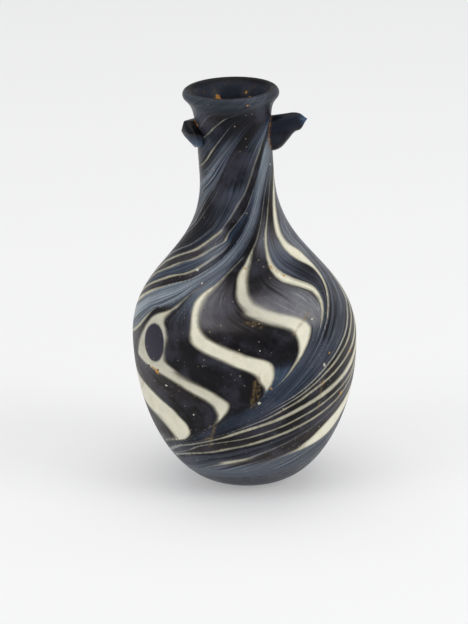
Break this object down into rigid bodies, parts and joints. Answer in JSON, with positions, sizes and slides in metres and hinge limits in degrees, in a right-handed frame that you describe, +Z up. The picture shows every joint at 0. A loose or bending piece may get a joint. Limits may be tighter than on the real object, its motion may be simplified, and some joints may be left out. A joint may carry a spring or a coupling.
{
  "type": "glass perfume flask",
  "caption": "Small blown-glass perfume flask with an egg-shaped body, slender neck, flared lip and the broken stubs of its neck handles, in dark glass with trailed bands.",
  "frame": {"origin": "middle of the flat spot that the flask stands on", "axes": "+Z up along the flask, -Y towards the side that the picture shows, +X towards the thorn-shaped handle stub"},
  "size_m": [0.056, 0.056, 0.1013],
  "materials": {
    "marbled_glass": "opaque dark glass marbled with cream and slate-blue trails, weathered to a satin surface"
  },
  "bodies": {
    "root": {"flask": "marbled_glass"}
  },
  "joints": []
}
